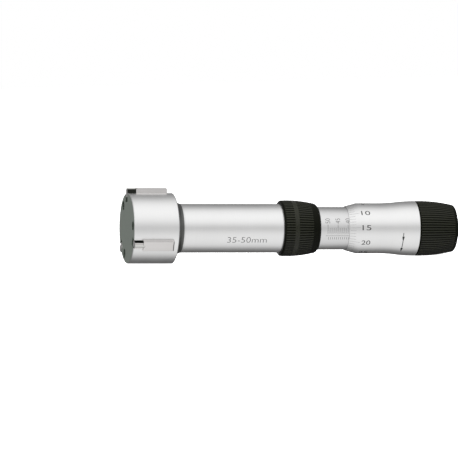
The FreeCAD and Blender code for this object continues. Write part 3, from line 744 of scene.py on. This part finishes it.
# sleeve: whole millimetres above the line, halves below, numbered by diameter
sleeveMarks = {
    "angle": -18.8, "line": 0.12, "lineOver": 1.0, "tick": 0.17, "low": 1.0, "short": 3.9, "long": 5.5,
    "halfStep": 0.5, "halfTop": -0.7, "halfEnd": -2.0, "numberEach": 5, "numberAt": 7.3,
    "numberHeight": 2.3, "numberWidth": 2.6, "numberWeight": -0.012,
    "opened": 39.18, "first": 35, "last": 50,
}
bm = bmesh.new()
zeroX = thimbleX + sleeveMarks["opened"]  # where a bore of no diameter would be read
lineStart = zeroX - sleeveMarks["last"] - sleeveMarks["lineOver"]
lineEnd = zeroX - sleeveMarks["first"] + sleeveMarks["lineOver"]
stroke(bm, lineStart, -sleeveMarks["line"] / 2, lineEnd, sleeveMarks["line"] / 2)
half = sleeveMarks["tick"] / 2
for size in range(sleeveMarks["first"], sleeveMarks["last"] + 1):
    x = zeroX - size
    numbered = size % sleeveMarks["numberEach"] == 0
    stroke(bm, x - half, sleeveMarks["low"], x + half, sleeveMarks["long" if numbered else "short"])
    if size < sleeveMarks["last"]:
        halfX = x - sleeveMarks["halfStep"]
        stroke(bm, halfX - half, sleeveMarks["halfEnd"], halfX + half, sleeveMarks["halfTop"])
    if numbered:
        lettering(
            bm, str(size), x, sleeveMarks["numberAt"], sleeveMarks["numberHeight"],
            sleeveMarks["numberWidth"], turn=90, weight=sleeveMarks["numberWeight"],
        )
marks = wrapped(bm, lambda x: sleeveR, sleeveMarks["angle"])
fitted(marks, "sleeveMarks", "greyEnamel", "frame", "sleeve_chrome")

# thimble: fifty divisions on the bevel and a number each fifth, wide where it has two figures
thimbleMarks = {
    "divisions": 50, "index": 18, "start": 0.25, "short": 3.0, "long": 5.0, "tick": 0.12,
    "numberEach": 5, "numberAt": 8.1, "numberHeight": 2.5, "numberWidth": 4.4,
}
divisionTurn = 360 / thimbleMarks["divisions"]
bevelSlope = (thimble["r"] - thimble["lipR"]) / thimble["bevel"]
half = thimbleMarks["tick"] / 2
lines = []
numbers = []
for i in range(thimbleMarks["divisions"]):
    angle = sleeveMarks["angle"] - (i - thimbleMarks["index"]) * divisionTurn
    numbered = i % thimbleMarks["numberEach"] == 0
    line = bmesh.new()
    length = thimbleMarks["long" if numbered else "short"]
    stroke(line, thimbleX + thimbleMarks["start"], -half, thimbleX + length, half)
    lines.append(wrapped(line, lambda x: thimble["lipR"] + (x - thimbleX) * bevelSlope, angle))
    if numbered:
        number = bmesh.new()
        lettering(
            number, str(i), thimbleX + thimbleMarks["numberAt"], 0, thimbleMarks["numberHeight"],
            thimbleMarks["numberWidth"] if len(str(i)) > 1 else None,
        )
        numbers.append(wrapped(number, lambda x: thimble["r"], angle))
fitted(joined(lines), "thimbleLines", "paleEnamel", "thimble", "thimble_chrome")
fitted(joined(numbers), "thimbleNumbers", "blackEnamel", "thimble", "thimble_chrome")

# a turning arrow on the thimble's flare, its places in degrees round the axis
arrow = {
    "x": 134.4, "start": -8.5, "middle": -21.5, "end": -51.0, "line": 0.35, "head": 1.2,
    "headLength": 3.0,
}
perDegree = math.radians(flareR(arrow["x"]))
half = arrow["line"] / 2
bm = bmesh.new()
stroke(
    bm, arrow["x"] - half, arrow["start"] * perDegree, arrow["x"] + half, arrow["end"] * perDegree
)
for tip in ("middle", "end"):
    arrowhead(bm, arrow["x"], arrow[tip] * perDegree, arrow["head"], arrow["headLength"])
fitted(wrapped(bm, flareR, 0), "turnArrow", "blackEnamel", "thimble", "thimble_chrome")

# the range, engraved on the shank
rangeMark = {
    "text": "35-50mm", "x": 57.0, "angle": -27.0, "height": 3.0, "width": 19.5, "weight": -0.014,
}
bm = bmesh.new()
lettering(
    bm, rangeMark["text"], rangeMark["x"], 0, rangeMark["height"], rangeMark["width"],
    weight=rangeMark["weight"],
)
marks = wrapped(bm, lambda x: head["shankR"], rangeMark["angle"])
fitted(marks, "rangeMark", "greyEnamel", "frame", "satin_chrome")
print("marks done")

# the nodes inside keep their shape
inside = {
    "front_bush": "bronze", "rear_bush": "bronze", "inner_barrel": "turnedSteel",
    "adjusting_nut": "turnedSteel", "measuring_cone": "groundSteel", "cone_screw": "blackened",
    "push_rod": "groundSteel", "stop_ring": "turnedSteel", "return_spring": "springSteel",
    "thrust_ball": "hardMetal", "spindle": "turnedSteel", "thimble_nut": "turnedSteel",
    "ratchet_wheel": "turnedSteel", "ratchet_screw": "turnedSteel", "ratchet_plunger": "groundSteel",
    "ratchet_spring": "springSteel",
}
for node, finish in inside.items():
    mesh = frame["nodes"][node].data
    mesh.materials.clear()
    mesh.materials.append(finishes[finish])
print("inside done")

# floor: it touches the head's rear edge and the wide end of the thimble, and is white to the camera
floor = {"size": 12.0, "colour": (0.92, 0.92, 0.92), "roughness": 0.9, "glow": 1.0, "clear": 0.0001}
tilt = math.atan((headR - thimbleRearR) / (thimbleEnd - head["rear"]))
bm = bmesh.new()
bmesh.ops.create_grid(bm, x_segments=1, y_segments=1, size=floor["size"] / 2)
floorPiece = made(bm, "floor")
touch = Vector((head["rear"] * mm, 0, -headR * mm - floor["clear"]))
floorPiece.data.transform(Matrix.Translation(touch) @ Matrix.Rotation(-tilt, 4, "Y"))
finish = Finish(bpy.data.materials.new("paleFloor"), {
    "Base Color": (*floor["colour"], 1), "Roughness": floor["roughness"], "Specular IOR Level": 0.0,
    "Emission Color": (1, 1, 1, 1),
})
finish.feed(finish.shader, {"Emission Strength": finish.ray("Is Camera Ray") * floor["glow"]})
floorPiece.data.materials.append(finish.owner)
floorPiece.visible_glossy = False

# world: white to the camera, and a softer light for the object
# reflections see greys by the angle round the axis: 0 in front, 90 above, -90 below, 180 behind
# they are dimmer towards the axis's rear end than towards the head
sky = {
    "light": 0.55,
    "seen": (
        (-180, 0.34), (-164, 0.2), (-145, 0.1), (-118, 0.2), (-106, 0.42), (-93, 0.74), (-80, 0.86),
        (-40, 0.96), (-20, 0.90), (-8, 0.72), (0, 0.60), (7, 0.60), (20, 0.92), (36, 1.08),
        (60, 1.12), (85, 1.02), (97, 0.86), (119, 0.44), (137, 0.30), (155, 0.24), (180, 0.34),
    ),
    "aside": ((-1, 0.9), (0, 1.0), (0.38, 1.0), (0.7, 0.7), (1, 0.5)),
}
world = bpy.data.worlds.new("studio")
bpy.context.scene.world = world
studio = Finish(world, {"Strength": 1.0}, "Background")
x, y, z = studio.split(studio.add("ShaderNodeTexCoord", {}, {}, "Generated"))
turn = studio.maths("ARCTAN2", z, y * -1) * (0.5 / math.pi) + 0.5
around = studio.ramp(turn, [(0.5 + angle / 360, grey) for angle, grey in sky["seen"]])
aside = studio.ramp(x * 0.5 + 0.5, [(0.5 + side / 2, grey) for side, grey in sky["aside"]])
behind = studio.maths("MAXIMUM", studio.ray("Is Camera Ray"), studio.ray("Is Transmission Ray"))
level = behind * (1 - sky["light"]) + sky["light"]
seen = studio.mix(studio.ray("Is Glossy Ray"), level, around * aside)
studio.feed(studio.shader, {"Color": seen})


# a direction away from the object: azimuth 0 is the front, and it grows towards the ratchet
def direction(azimuth, elevation):
    a = math.radians(azimuth)
    e = math.radians(elevation)
    return Vector((math.sin(a) * math.cos(e), -math.cos(a) * math.cos(e), math.sin(e)))


# lamp panels that face the object's middle
lamps = {
    "topLamp": {"azimuth": -10, "elevation": 70, "distance": 1.2, "size": 1.2, "power": 14.0},
    "frontLamp": {"azimuth": -25, "elevation": 35, "distance": 1.4, "size": 0.9, "power": 8.0},
}
lampAim = Vector((80 * mm, 0, 0))
for name, lamp in lamps.items():
    light = bpy.data.lights.new(name, "AREA")
    light.shape = "SQUARE"
    light.size = lamp["size"]
    light.energy = lamp["power"]
    panel = bpy.data.objects.new(name, light)
    bpy.context.scene.collection.objects.link(panel)
    away = direction(lamp["azimuth"], lamp["elevation"])
    aim = away.to_track_quat("Z", "Y").to_matrix().to_4x4()
    panel.matrix_world = Matrix.Translation(lampAim + away * lamp["distance"]) @ aim
    panel.visible_glossy = False

# camera: long lens, seen from the head's side, with the axis level in the picture
camera = {
    "azimuth": -13.5, "elevation": 1.5, "distance": 3.6, "frame": 458, "pixel": 0.4825,
    "aimX": 50.5, "aimZ": -0.35, "sensor": 36, "clipEnd": 50,
}
back = direction(camera["azimuth"], camera["elevation"])
right = (Vector((1, 0, 0)) - back * back.x).normalized()
up = back.cross(right)
lens = bpy.data.cameras.new("camera")
lens.sensor_width = camera["sensor"]
lens.lens = camera["sensor"] * camera["distance"] / (camera["frame"] * camera["pixel"] * mm)
lens.clip_end = camera["clipEnd"]
eye = bpy.data.objects.new("camera", lens)
bpy.context.scene.collection.objects.link(eye)
eyeAim = Vector((camera["aimX"] * mm, 0, camera["aimZ"] * mm))
eyeTurn = Matrix((right, up, back)).transposed().to_4x4()
eye.matrix_world = Matrix.Translation(eyeAim + back * camera["distance"]) @ eyeTurn
bpy.context.scene.camera = eye
bpy.context.scene.view_settings.view_transform = "Standard"
print("stage done")
